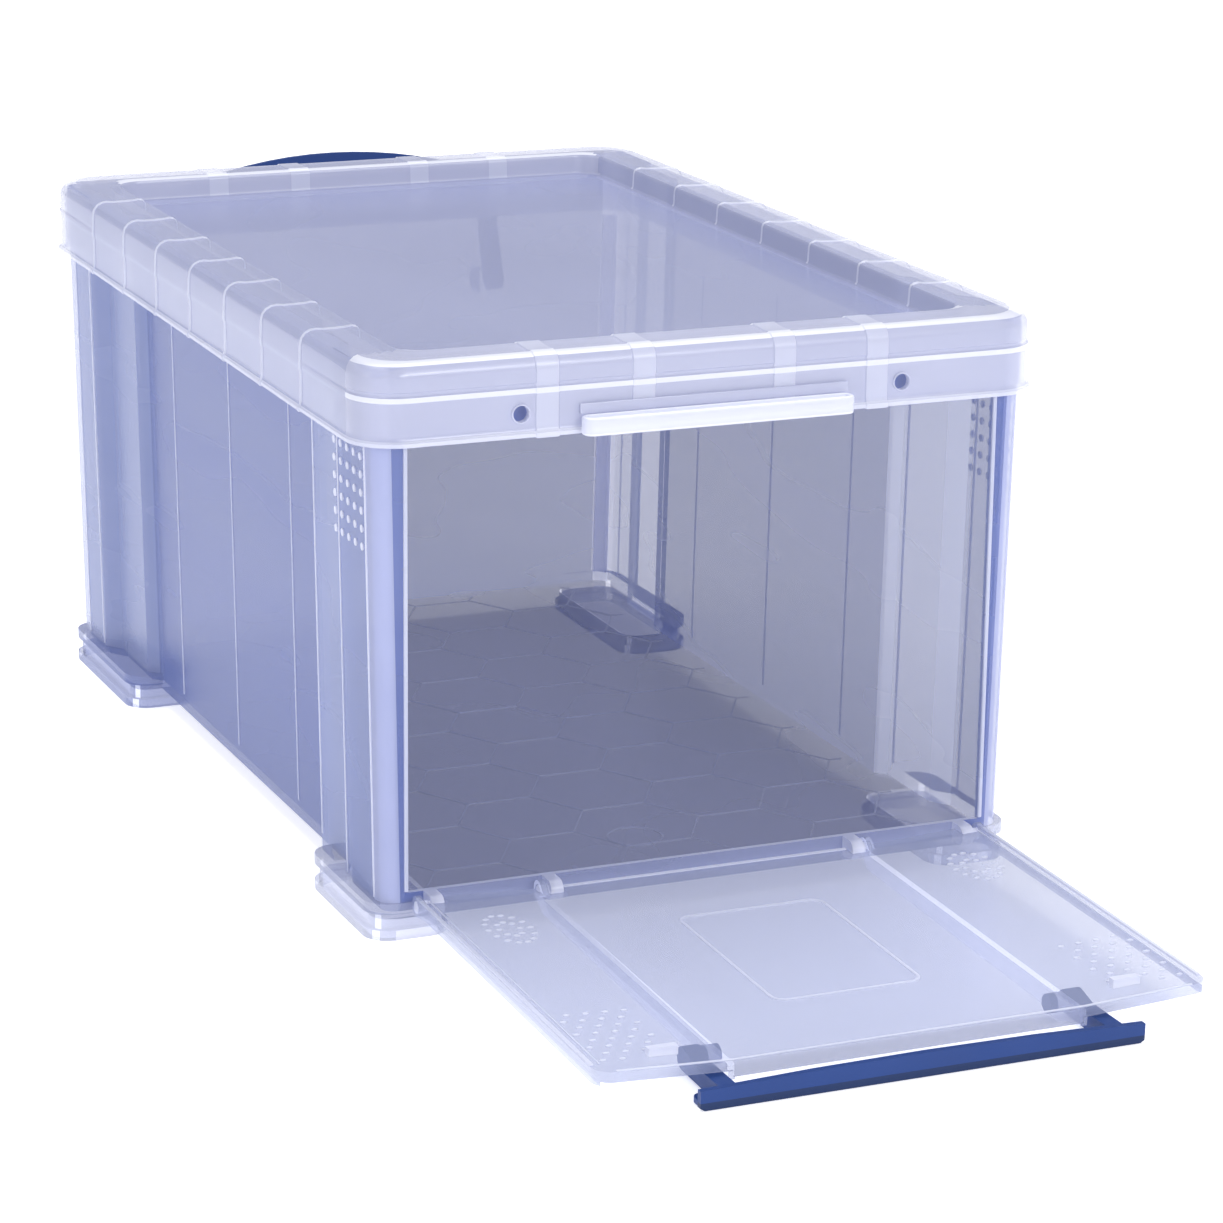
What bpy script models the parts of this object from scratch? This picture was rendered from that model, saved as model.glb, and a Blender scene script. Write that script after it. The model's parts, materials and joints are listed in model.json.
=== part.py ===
"""Shoe box with a lift-off lid, a drop-down front flap and two swing handles.

Metres, +Z up. The box faces -Y and the flap lies open in front of it. Every piece hangs under the empty
"footprint_centre", so sizes below are counted from the tub's own centre line, at the underside of the feet.
"""
import math

import bpy
import bmesh
from mathutils import Matrix

MM = 0.001

# ---------------------------------------------------------------- modelling allowances
OVERSHOOT = 1.0 * MM                     # how far a cutting tool stands out of what it cuts
BORE_OVERSHOOT = 0.6 * MM
SINK = 1.0 * MM                          # how deep one joined piece reaches into the next
TUCK = 0.1 * MM                          # keeps two joined faces from lying in one plane

# ---------------------------------------------------------------- driving dimensions
LID_HALF = (127.5 * MM, 190.0 * MM)      # lid skirt, half width and half depth
LID_BOTTOM = 173.0 * MM
LID_TOP = 202.0 * MM
LID_CORNER = 17.0 * MM
LID_TOP_ROUND = 5.0 * MM                 # rounding of the rim's outer edge
SKIRT_WALL = 2.1 * MM
PANEL_HALF = (104.5 * MM, 168.0 * MM)    # sunken middle of the lid
PANEL_TOP = 193.0 * MM
PANEL_WALL = 2.2 * MM
PANEL_CORNER = 10.0 * MM

LEDGE_HALF = 50.0 * MM                   # shelf that a handle hooks over, front and rear
LEDGE_REACH = 6.8 * MM
LEDGE_LOW = 173.4 * MM
LEDGE_HIGH = 179.8 * MM
LEDGE_GROOVE_DEPTH = 1.4 * MM
LEDGE_GROOVE_MARGIN = (1.2 * MM, 1.4 * MM, 5.0 * MM)   # left standing at the lid, the tip and the ends
LEDGE_PLATE_OUT = 0.6 * MM               # thin backing plate behind the shelf
LEDGE_PLATE_HIGH = 183.4 * MM
LID_HOLE_X = 70.5 * MM
LID_HOLE_Z = 181.6 * MM
LID_HOLE_RADIUS = 2.75 * MM

TUB_HALF = (122.0 * MM, 184.0 * MM)      # corner posts at the rim
TUB_CORNER = 7.0 * MM
TUB_WALL = 2.0 * MM
TUB_TOP = 199.4 * MM
TUB_UNDERSIDE = 7.5 * MM
FLOOR_TOP = 9.5 * MM
SIDE_STEPS = (                           # half width of each band, and the y range of the slope into it
    (116.5 * MM, 148.0 * MM, 141.0 * MM),
    (112.5 * MM, 107.0 * MM, 103.0 * MM),
)
DRAFT = 3.5 * MM                         # how much narrower each side is at the bottom
OPENING_HALF = 109.0 * MM
SILL_TOP = 16.6 * MM
OPENING_TOP = 174.6 * MM

FOOT_X = (92.0 * MM, 122.5 * MM)
FRONT_FOOT_Y = (-184.5 * MM, -118.0 * MM)
BACK_FOOT_Y = (100.0 * MM, 184.5 * MM)
FOOT_CORNER = 9.0 * MM
FOOT_LAYERS = (                          # lower lip, waist, upper lip: z range and inset
    (0.0 * MM, 3.6 * MM, 0.0 * MM),
    (3.2 * MM, 9.8 * MM, 1.8 * MM),
    (9.4 * MM, 13.2 * MM, 0.0 * MM),
)
FOOT_WALL = 3.0 * MM
FOOT_HOLLOW_TOP = 6.8 * MM

FLAP_AXIS = (-189.0 * MM, 13.0 * MM)     # hinge line of the flap, y and z
FLAP_DROOP = math.radians(0.9)           # slope of the open flap below level
FLAP_HALF = 108.0 * MM
FLAP_START = -1.0 * MM                   # hinge-side edge, counted outwards from the axis
FLAP_LENGTH = 159.4 * MM                 # free edge
FLAP_WALL = 1.8 * MM
FLAP_MIDDLE_TOP = 0.4 * MM               # inner face between the fins, above the axis
FLAP_CORNER_TOP = 2.8 * MM               # inner face at the side edges
FLAP_LIP = 3.6 * MM                      # depth of the lip along the free edge
FLAP_MIDDLE_LIP = (61.8 * MM, 5.6 * MM)  # half width and depth of the deeper lip between the fins
FLAP_LIP_WALL = 1.8 * MM
FLANGE_DEPTH = 5.0 * MM
FLANGE_HEEL = 8.0 * MM                   # where a side flange runs into its hinge lobe
FIN_X = (61.0 * MM, 63.4 * MM)
FIN_DEPTH = -8.5 * MM                    # bottom of a fin, from the axis height
FIN_LOBE_DEPTH = -10.3 * MM              # deeper round the handle's pivot
FIN_LOBE_HALF = (4.0 * MM, 9.0 * MM)     # half length of the deep part, and with its slopes
FIN_TAIL = 2.0 * MM                      # a fin is this much shallower at its outer end
FIN_HEEL = (6.0 * MM, 4.5 * MM)          # where its top and bottom run into the hinge lobe
FIN_HEEL_RISE = 1.5 * MM
NIB_X = 82.0 * MM
NIB_SIZE = (10.0 * MM, 3.0 * MM, 2.4 * MM)
NIB_T = 149.0 * MM
NIB_SUNK = 1.4 * MM                      # height taken up by the rise of the face round it

HINGE_PIN = 1.9 * MM
HINGE_BORE = 2.3 * MM
HINGE_LOBE = 3.8 * MM
HINGE_EAR = 3.6 * MM
FIN_EAR_X = (55.2 * MM, 59.8 * MM)
FIN_PIN_END = 63.3 * MM
FLANGE_EAR_X = (98.8 * MM, 103.4 * MM)
FLANGE_PIN_END = 107.9 * MM
EAR_NOTCH = 0.8 * MM                     # room left in the flap's edge beside an ear
EAR_NOTCH_T = 5.2 * MM

FRONT_PIVOT = (140.0 * MM, -5.4 * MM)    # handle pivot in the flap: outwards, and above the flap's axis
FRONT_PIN = 3.3 * MM
FRONT_PIN_END = 58.6 * MM
FRONT_BORE = 3.65 * MM
FRONT_ARM_ROUND = 3.9 * MM
FRONT_ARM_NECK = 9.0 * MM                # where the round end has run into the straight arm
FRONT_ARM_TOP = 1.6 * MM                 # above the pivot, where the arm passes under the flap's lip
FRONT_ARM_FLARE = 0.4 * MM
ARM_X = (65.0 * MM, 71.0 * MM)
GRIP_HALF = 78.0 * MM
GRIP_RADIUS = (27.9 * MM, 30.3 * MM)     # inner and outer face of the hooked plate, from the pivot
GRIP_Z = (-4.6 * MM, 3.6 * MM)           # its reach below and above the pivot
GRIP_FLANGE = (20.4 * MM, 1.9 * MM)      # how near the pivot the lower flange comes, and its thickness
GRIP_FLANGE_INSET = (1.0 * MM, 0.8 * MM)
GRIP_FLANGE_CORNER = 3.0 * MM
GRIP_CORNER_CUT = (1.5 * MM, 0.9 * MM)   # lower corners of the plate
GRIP_TOP_CROWN = 1.6 * MM                # the plate is this much lower at its ends

REAR_PIVOT = (191.0 * MM, 146.0 * MM)    # y and z
REAR_TILT = math.radians(4.5)            # how far the unhooked rear handle leans out
REAR_PIN = 2.5 * MM
REAR_BORE = 2.9 * MM
REAR_RING = 5.0 * MM
REAR_EAR_X = (59.0 * MM, 64.0 * MM)
REAR_PIN_END = 71.6 * MM
REAR_GRIP_HALF = 75.0 * MM
REAR_PLATE_Y = (6.4 * MM, 9.2 * MM)
REAR_PLATE_LOW = 27.0 * MM
REAR_PLATE_HIGH = 56.5 * MM              # crest of the arch
REAR_PLATE_CUT = 3.0 * MM                # lower corners
REAR_ARCH_RADIUS = 205.0 * MM
REAR_LIP = (3.6 * MM, 34.6 * MM, 36.8 * MM)   # inner reach, underside and top of the hook's lip
REAR_LIP_INSET = (4.0 * MM, 0.6 * MM)
REAR_ARM_OUTER = 8.8 * MM                # face of the arm inside the plate
REAR_ARM_INNER = (1.4 * MM, 2.4 * MM)    # inner face at the bottom and at the top of the slope
REAR_ARM_Z = (19.0 * MM, 23.0 * MM, 37.0 * MM)   # ends of the two slopes, and the top

FRONT_REACH = -FLAP_AXIS[0] + (FRONT_PIVOT[0] + GRIP_RADIUS[1]) * math.cos(FLAP_DROOP)
REAR_REACH = (REAR_PIVOT[0] + REAR_PLATE_Y[1] * math.cos(REAR_TILT)
              + REAR_PLATE_HIGH * math.sin(REAR_TILT))

ARC_STEPS = 5
ARM_STEPS = 8
EAR_STEPS = 10
LOBE_STEPS = 12
CROWN_STEPS = 12
ARCH_STEPS = 16
RIM_STEPS = 3
PIN_SIDES = 20
MERGE = 1e-6
FLATTEST_ROUND = math.radians(1.0)       # faces that meet between these angles are shaded as one curve
SHARPEST_ROUND = math.radians(35.0)


# ---------------------------------------------------------------- scene and materials
def clear_scene():
    for old in list(bpy.data.objects):
        bpy.data.objects.remove(old, do_unlink=True)


def new_collection(name):
    collection = bpy.data.collections.new(name)
    bpy.context.scene.collection.children.link(collection)
    return collection


def plastic(name, colour, alpha, roughness):
    material = bpy.data.materials.new(name)
    material.use_nodes = True
    shader = material.node_tree.nodes["Principled BSDF"]
    shader.inputs["Base Color"].default_value = (*colour, 1.0)
    shader.inputs["Roughness"].default_value = roughness
    shader.inputs["Metallic"].default_value = 0.0
    shader.inputs["Alpha"].default_value = alpha
    return material


def new_empty(name, location, parent=None, turn_x=0.0):
    empty = bpy.data.objects.new(name, None)
    empty.empty_display_size = 0.02
    empty.location = location
    empty.rotation_euler = (turn_x, 0.0, 0.0)
    empty.parent = parent
    parts.objects.link(empty)
    return empty


# ---------------------------------------------------------------- outlines
def arc(centre, radius, start, end, steps=ARC_STEPS):
    """Points of an arc, in degrees, both ends included."""
    angles = [math.radians(start + (end - start) * i / steps) for i in range(steps + 1)]
    return [(centre[0] + radius * math.cos(a), centre[1] + radius * math.sin(a)) for a in angles]


def rounded_rectangle(low, high, radius):
    (x0, y0), (x1, y1) = low, high
    return (arc((x1 - radius, y1 - radius), radius, 0, 90)
            + arc((x0 + radius, y1 - radius), radius, 90, 180)
            + arc((x0 + radius, y0 + radius), radius, 180, 270)
            + arc((x1 - radius, y0 + radius), radius, 270, 360))


def centred_rectangle(half, radius, inset=0.0):
    hx, hy = half[0] - inset, half[1] - inset
    return rounded_rectangle((-hx, -hy), (hx, hy), radius - inset)


def tub_outline(inset):
    """Plan of the tub: wide at the corner posts, stepping in twice towards the middle of each long side."""
    hx, hy = TUB_HALF[0] - inset, TUB_HALF[1] - inset
    radius = TUB_CORNER - inset
    side = [(hx, hy - radius)]
    for half_width, outer_y, inner_y in SIDE_STEPS:
        side.append((side[-1][0], outer_y + 0.5 * inset))
        side.append((half_width - inset, inner_y + 0.5 * inset))
    corner = arc((hx - radius, hy - radius), radius, 90, 0)[:-1]
    quarter = corner + side
    right = quarter + [(x, -y) for x, y in reversed(quarter)]
    return right + [(-x, y) for x, y in reversed(right)]


def ear_outline(centre, radius, far):
    """Side view of a hinge ear: round about its pin, then straight back to u = far."""
    side = 1.0 if far > centre[0] else -1.0
    nose = arc(centre, radius, 90, 90 + side * 180, EAR_STEPS)
    return nose + [(far, centre[1] - radius), (far, centre[1] + radius)]


# ---------------------------------------------------------------- solids
PLANES = {
    "Z": Matrix.Identity(4),
    "Y": Matrix(((1, 0, 0, 0), (0, 0, -1, 0), (0, 1, 0, 0), (0, 0, 0, 1))),
    "X": Matrix(((0, 0, 1, 0), (1, 0, 0, 0), (0, 1, 0, 0), (0, 0, 0, 1))),
}


def shade_curves(shape):
    for edge in shape.edges:
        if edge.is_manifold and FLATTEST_ROUND < edge.calc_face_angle() < SHARPEST_ROUND:
            for face in edge.link_faces:
                face.smooth = True


def add_object(name, mesh, parent):
    obj = bpy.data.objects.new(name, mesh)
    obj.parent = parent
    parts.objects.link(obj)
    return obj


def extrusion(name, outline, low, high, axis, parent):
    """A flat outline pushed from low to high along an axis.

    The outline holds (x, y) for Z, (x, z) for Y and (y, z) for X.
    """
    curve = bpy.data.curves.new(name + "_outline", "CURVE")
    curve.dimensions = "2D"
    curve.fill_mode = "BOTH"
    curve.extrude = 0.5 * (high - low)
    spline = curve.splines.new("POLY")
    spline.points.add(len(outline) - 1)
    for point, (u, v) in zip(spline.points, outline):
        point.co = (u, v, 0.0, 1.0)
    spline.use_cyclic_u = True
    guide = bpy.data.objects.new(name + "_guide", curve)
    bpy.context.scene.collection.objects.link(guide)
    bpy.context.view_layer.update()
    mesh = bpy.data.meshes.new_from_object(guide.evaluated_get(bpy.context.evaluated_depsgraph_get()))
    bpy.data.objects.remove(guide, do_unlink=True)
    mesh.name = name
    mesh.materials.clear()
    middle = [0.5 * (low + high) if letter == axis else 0.0 for letter in "XYZ"]
    mesh.transform(Matrix.Translation(middle) @ PLANES[axis])
    tidy = bmesh.new()
    tidy.from_mesh(mesh)
    bmesh.ops.remove_doubles(tidy, verts=tidy.verts, dist=MERGE)
    bmesh.ops.recalc_face_normals(tidy, faces=tidy.faces)
    shade_curves(tidy)
    tidy.to_mesh(mesh)
    tidy.free()
    return add_object(name, mesh, parent)


def block(name, low, high, parent):
    mesh = bpy.data.meshes.new(name)
    shape = bmesh.new()
    size = [h - l for l, h in zip(low, high)]
    middle = [0.5 * (l + h) for l, h in zip(low, high)]
    bmesh.ops.create_cube(shape, size=1.0, matrix=Matrix.Translation(middle) @ Matrix.Diagonal((*size, 1.0)))
    shape.to_mesh(mesh)
    shape.free()
    return add_object(name, mesh, parent)


def rod(name, radius, low, high, centre, parent, axis="X"):
    """A round bar along X at (y, z), or along Y at (x, z)."""
    mesh = bpy.data.meshes.new(name)
    shape = bmesh.new()
    middle = 0.5 * (low + high)
    if axis == "X":
        place = Matrix.Translation((middle, *centre)) @ Matrix.Rotation(math.pi / 2, 4, "Y")
    else:
        place = Matrix.Translation((centre[0], middle, centre[1])) @ Matrix.Rotation(math.pi / 2, 4, "X")
    bmesh.ops.create_cone(shape, cap_ends=True, segments=PIN_SIDES, radius1=radius, radius2=radius,
                          depth=high - low, matrix=place)
    shade_curves(shape)
    shape.to_mesh(mesh)
    shape.free()
    return add_object(name, mesh, parent)


def combine(target, tool, operation):
    """Boolean union or difference with a tool that stays as a hidden helper."""
    modifier = target.modifiers.new(operation.lower() + "_" + tool.name, "BOOLEAN")
    modifier.operation = operation
    modifier.solver = "EXACT"
    modifier.object = tool
    tool.hide_render = True
    tool.display_type = "WIRE"
    parts.objects.unlink(tool)
    cutters.objects.link(tool)


def join(target, *tools):
    for tool in tools:
        combine(target, tool, "UNION")


def cut(target, *tools):
    for tool in tools:
        combine(target, tool, "DIFFERENCE")


def both_sides(low, high):
    """An x range and its mirror image."""
    return ((1, (low, high)), (-1, (-high, -low)))


def finish(obj, material):
    obj.data.materials.clear()
    obj.data.materials.append(material)
    return obj


def taper(obj):
    """Draft: draw each long side in towards the bottom."""
    for vertex in obj.data.vertices:
        depth = (TUB_TOP - vertex.co.z) / (TUB_TOP - TUB_UNDERSIDE)
        vertex.co.x *= 1.0 - depth * DRAFT / TUB_HALF[0]


# ---------------------------------------------------------------- tub
def make_foot(name, y_range, side, parent):
    """One corner foot: two lips with a waist between them, hollow underneath."""
    x_low, x_high = (FOOT_X[0], FOOT_X[1]) if side > 0 else (-FOOT_X[1], -FOOT_X[0])
    layers = []
    for index, (low, high, inset) in enumerate(FOOT_LAYERS):
        outline = rounded_rectangle((x_low + inset, y_range[0] + inset),
                                    (x_high - inset, y_range[1] - inset), FOOT_CORNER - inset)
        layers.append(extrusion(f"{name}_layer_{index}", outline, low, high, "Z", parent))
    hollow = extrusion(f"{name}_hollow",
                       rounded_rectangle((x_low + FOOT_WALL, y_range[0] + FOOT_WALL),
                                         (x_high - FOOT_WALL, y_range[1] - FOOT_WALL),
                                         FOOT_CORNER - FOOT_WALL),
                       -OVERSHOOT, FOOT_HOLLOW_TOP, "Z", parent)
    return layers, hollow


def make_tub(parent):
    tub = extrusion("tub", tub_outline(0.0), TUB_UNDERSIDE, TUB_TOP, "Z", parent)
    cavity = extrusion("tub_cavity", tub_outline(TUB_WALL), FLOOR_TOP, TUB_TOP + OVERSHOOT, "Z", parent)
    taper(tub)
    taper(cavity)
    for row, y_range in (("front", FRONT_FOOT_Y), ("back", BACK_FOOT_Y)):
        for side, word in ((1, "right"), (-1, "left")):
            layers, hollow = make_foot(f"{row}_{word}_foot", y_range, side, parent)
            join(tub, *layers)
            cut(tub, hollow)
    cut(tub, cavity)
    cut(tub, block("front_opening", (-OPENING_HALF, -TUB_HALF[1] - OVERSHOOT, SILL_TOP),
                   (OPENING_HALF, -TUB_HALF[1] + TUB_WALL + OVERSHOOT, OPENING_TOP), parent))

    wall_face = -TUB_HALF[1] + 0.5 * TUB_WALL
    for label, ear_x, pin_end in (("fin", FIN_EAR_X, FIN_PIN_END), ("flange", FLANGE_EAR_X, FLANGE_PIN_END)):
        outline = ear_outline(FLAP_AXIS, HINGE_EAR, wall_face)
        for side, (low, high) in both_sides(*ear_x):
            join(tub, extrusion(f"{label}_ear_{side:+d}", outline, low, high, "X", parent))
        for side, (low, high) in both_sides(ear_x[1] - SINK, pin_end):
            join(tub, rod(f"{label}_pin_{side:+d}", HINGE_PIN, low, high, FLAP_AXIS, parent))

    back_face = TUB_HALF[1] - 0.5 * TUB_WALL
    outline = ear_outline(REAR_PIVOT, REAR_RING, back_face)
    for side, (low, high) in both_sides(*REAR_EAR_X):
        join(tub, extrusion(f"rear_ear_{side:+d}", outline, low, high, "X", parent))
    for side, (low, high) in both_sides(REAR_EAR_X[1] - SINK, REAR_PIN_END):
        join(tub, rod(f"rear_pin_{side:+d}", REAR_PIN, low, high, REAR_PIVOT, parent))
    return finish(tub, clear_plastic)


# ---------------------------------------------------------------- lid
def make_ledge(name, facing, parent):
    """Shelf on a short side of the lid, with a shallow groove along its top."""
    at_lid, at_tip, at_ends = LEDGE_GROOVE_MARGIN
    face = facing * LID_HALF[1]
    tip = facing * (LID_HALF[1] + LEDGE_REACH)
    inside = facing * (LID_HALF[1] - 0.5 * SKIRT_WALL)
    round_end = 0.5 * LEDGE_REACH
    low, high = sorted((inside, tip))
    shelf = extrusion(f"{name}_shelf", rounded_rectangle((-LEDGE_HALF, low), (LEDGE_HALF, high), round_end),
                      LEDGE_LOW, LEDGE_HIGH, "Z", parent)
    plate_low, plate_high = sorted((inside, face + facing * LEDGE_PLATE_OUT))
    backing = block(f"{name}_backing", (-LEDGE_HALF, plate_low, LEDGE_LOW),
                    (LEDGE_HALF, plate_high, LEDGE_PLATE_HIGH), parent)
    groove_low, groove_high = sorted((face + facing * at_lid, tip - facing * at_tip))
    groove = block(f"{name}_groove", (-LEDGE_HALF + at_ends, groove_low, LEDGE_HIGH - LEDGE_GROOVE_DEPTH),
                   (LEDGE_HALF - at_ends, groove_high, LEDGE_HIGH + OVERSHOOT), parent)
    return shelf, backing, groove


def make_lid(parent):
    lid = extrusion("lid", centred_rectangle(LID_HALF, LID_CORNER), LID_BOTTOM, LID_TOP, "Z", parent)
    bevel_top_edge(lid, LID_TOP, LID_TOP_ROUND)
    cut(lid, extrusion("lid_channel", centred_rectangle(LID_HALF, LID_CORNER, SKIRT_WALL),
                       LID_BOTTOM - OVERSHOOT, LID_TOP - PANEL_WALL, "Z", parent))
    well_half = (PANEL_HALF[0] + PANEL_WALL, PANEL_HALF[1] + PANEL_WALL)
    join(lid, extrusion("lid_well", centred_rectangle(well_half, PANEL_CORNER + PANEL_WALL),
                        PANEL_TOP - PANEL_WALL, LID_TOP - 0.5 * PANEL_WALL, "Z", parent))
    cut(lid, extrusion("lid_recess", centred_rectangle(PANEL_HALF, PANEL_CORNER),
                       PANEL_TOP, LID_TOP + OVERSHOOT, "Z", parent))
    for name, facing in (("front_ledge", -1), ("rear_ledge", 1)):
        shelf, backing, groove = make_ledge(name, facing, parent)
        join(lid, shelf, backing)
        cut(lid, groove)
    for side in (1, -1):
        cut(lid, rod(f"lid_hole_{side:+d}", LID_HOLE_RADIUS, -LID_HALF[1] - OVERSHOOT,
                     -LID_HALF[1] + SKIRT_WALL + OVERSHOOT, (side * LID_HOLE_X, LID_HOLE_Z), parent,
                     axis="Y"))
    return finish(lid, clear_plastic)


def bevel_top_edge(obj, height, width):
    """Round the outer edge of the face at a height."""
    mesh = obj.data
    shape = bmesh.new()
    shape.from_mesh(mesh)
    rim = [edge for edge in shape.edges
           if all(abs(v.co.z - height) < MERGE for v in edge.verts)
           and any(abs(face.normal.z) < 0.5 for face in edge.link_faces)]
    bmesh.ops.bevel(shape, geom=rim, offset=width, offset_type="OFFSET", segments=RIM_STEPS, profile=0.5,
                    affect="EDGES")
    shade_curves(shape)
    shape.to_mesh(mesh)
    shape.free()


# ---------------------------------------------------------------- front flap
def flap_line(depth, inset=0.0):
    """A line across the flap, so far below its inner face: level between the fins, rising to the sides."""
    fin = 0.5 * (FIN_X[0] + FIN_X[1])
    side = FLAP_HALF - inset
    middle, corner = FLAP_MIDDLE_TOP - depth, FLAP_CORNER_TOP - depth
    return [(-side, corner), (-fin, middle), (fin, middle), (side, corner)]


def flap_section():
    return flap_line(0.0) + flap_line(FLAP_WALL)[::-1]


def lip_section():
    """Front view of the lip under the free edge, deeper between the fins; its top is buried in the flap."""
    half, depth = FLAP_MIDDLE_LIP
    buried = 0.5 * FLAP_WALL
    side = FLAP_HALF - buried
    corner, shallow, deep = FLAP_CORNER_TOP - FLAP_LIP, FLAP_MIDDLE_TOP - FLAP_LIP, FLAP_MIDDLE_TOP - depth
    return flap_line(buried, buried) + [(side, corner), (half, shallow), (half, deep),
                                        (-half, deep), (-half, shallow), (-side, corner)]


def make_flap(parent):
    """The flap in its own frame: x along the hinge, -y outwards, z towards the face that closes."""
    flap = extrusion("front_flap", flap_section(), -FLAP_LENGTH, -FLAP_START, "Y", parent)
    join(flap, extrusion("flap_free_lip", lip_section(), -FLAP_LENGTH + TUCK, -FLAP_LENGTH + FLAP_LIP_WALL,
                         "Y", parent))

    pivot_y, tip_y = -FRONT_PIVOT[0], -FLAP_LENGTH + SINK
    buried = FLAP_MIDDLE_TOP - 0.5 * FLAP_WALL
    lobe, slope = FIN_LOBE_HALF
    heel_top, heel_low = FIN_HEEL
    fin_outline = (arc((0.0, 0.0), HINGE_LOBE, -90, 150, LOBE_STEPS)
                   + [(-heel_top, buried), (tip_y, buried), (tip_y, FIN_DEPTH + FIN_TAIL),
                      (pivot_y - slope, FIN_DEPTH), (pivot_y - lobe, FIN_LOBE_DEPTH),
                      (pivot_y + lobe, FIN_LOBE_DEPTH), (pivot_y + slope, FIN_DEPTH),
                      (-heel_low, FIN_DEPTH + FIN_HEEL_RISE)])
    for side, (low, high) in both_sides(*FIN_X):
        join(flap, extrusion(f"fin_{side:+d}", fin_outline, low, high, "X", parent))

    flange_high, flange_low = FLAP_CORNER_TOP - 2 * TUCK, FLAP_CORNER_TOP - FLANGE_DEPTH
    flange_outline = (arc((0.0, 0.0), HINGE_LOBE, -90, 90, EAR_STEPS)
                      + [(-FLANGE_HEEL, flange_high), (tip_y, flange_high), (tip_y, flange_low),
                         (-FLANGE_HEEL, flange_low)])
    for side, (low, high) in both_sides(FLAP_HALF - FLAP_WALL, FLAP_HALF - TUCK):
        join(flap, extrusion(f"side_flange_{side:+d}", flange_outline, low, high, "X", parent))

    for side in (1, -1):
        x, (wide, deep, tall) = side * NIB_X, NIB_SIZE
        foot = FLAP_MIDDLE_TOP
        join(flap, block(f"catch_nib_{side:+d}", (x - wide / 2, -NIB_T - deep / 2, foot),
                         (x + wide / 2, -NIB_T + deep / 2, foot + NIB_SUNK + tall), parent))

    for label, low_x, high_x in (("fin", FIN_EAR_X[0] - EAR_NOTCH, FIN_X[0]),
                                 ("flange", FLANGE_EAR_X[0] - EAR_NOTCH, FLAP_HALF - FLAP_WALL)):
        for side, (low, high) in both_sides(low_x, high_x - TUCK):
            cut(flap, block(f"{label}_notch_{side:+d}", (low, -EAR_NOTCH_T, -HINGE_LOBE - OVERSHOOT),
                            (high, HINGE_LOBE + OVERSHOOT, HINGE_LOBE + OVERSHOOT), parent))
    for label, x_range in (("fin_bore", FIN_X), ("flange_bore", (FLAP_HALF - FLAP_WALL, FLAP_HALF))):
        for side, (low, high) in both_sides(x_range[0] - BORE_OVERSHOOT, x_range[1] + BORE_OVERSHOOT):
            cut(flap, rod(f"{label}_{side:+d}", HINGE_BORE, low, high, (0.0, 0.0), parent))
    for side, (low, high) in both_sides(FIN_X[0] - BORE_OVERSHOOT, FIN_X[1] + BORE_OVERSHOOT):
        cut(flap, rod(f"pivot_bore_{side:+d}", FRONT_BORE, low, high, (-FRONT_PIVOT[0], FRONT_PIVOT[1]), parent))
    return finish(flap, clear_plastic)


# ---------------------------------------------------------------- handles
def crowned_bar():
    """Front view (x, z) of the grip plate, whose top edge falls a little towards its squared ends."""
    low, high = GRIP_Z
    cut_x, cut_z = GRIP_CORNER_CUT
    along = [1 - 2 * i / CROWN_STEPS for i in range(CROWN_STEPS + 1)]
    top = [(GRIP_HALF * u, high - GRIP_TOP_CROWN * u ** 2) for u in along]
    return top + [(-GRIP_HALF, low + cut_z), (-GRIP_HALF + cut_x, low),
                  (GRIP_HALF - cut_x, low), (GRIP_HALF, low + cut_z)]


def make_front_handle(parent):
    """Hooked grip on two arms; its pivot line is the local x axis and -y points outwards."""
    low = GRIP_Z[0]
    handle = extrusion("front_handle", crowned_bar(), -GRIP_RADIUS[1], -GRIP_RADIUS[0], "Y", parent)
    inner, thickness = GRIP_FLANGE
    inset_x, inset_y = GRIP_FLANGE_INSET
    join(handle, extrusion("front_grip_flange",
                           rounded_rectangle((-GRIP_HALF + inset_x, -GRIP_RADIUS[1] + inset_y),
                                             (GRIP_HALF - inset_x, -inner), GRIP_FLANGE_CORNER),
                           low + TUCK, low + thickness, "Z", parent))
    arm_end = -GRIP_RADIUS[0] - SINK
    arm_outline = (arc((0.0, 0.0), FRONT_ARM_ROUND, -90, 90, ARM_STEPS)
                   + [(-FRONT_ARM_NECK, FRONT_ARM_TOP), (arm_end, FRONT_ARM_TOP + FRONT_ARM_FLARE),
                      (arm_end, low + FRONT_ARM_FLARE)])
    for side, (x0, x1) in both_sides(*ARM_X):
        join(handle, extrusion(f"front_arm_{side:+d}", arm_outline, x0, x1, "X", parent))
    for side, (x0, x1) in both_sides(FRONT_PIN_END, ARM_X[0] + SINK):
        join(handle, rod(f"front_handle_pin_{side:+d}", FRONT_PIN, x0, x1, (0.0, 0.0), parent))
    return finish(handle, handle_plastic)


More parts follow.
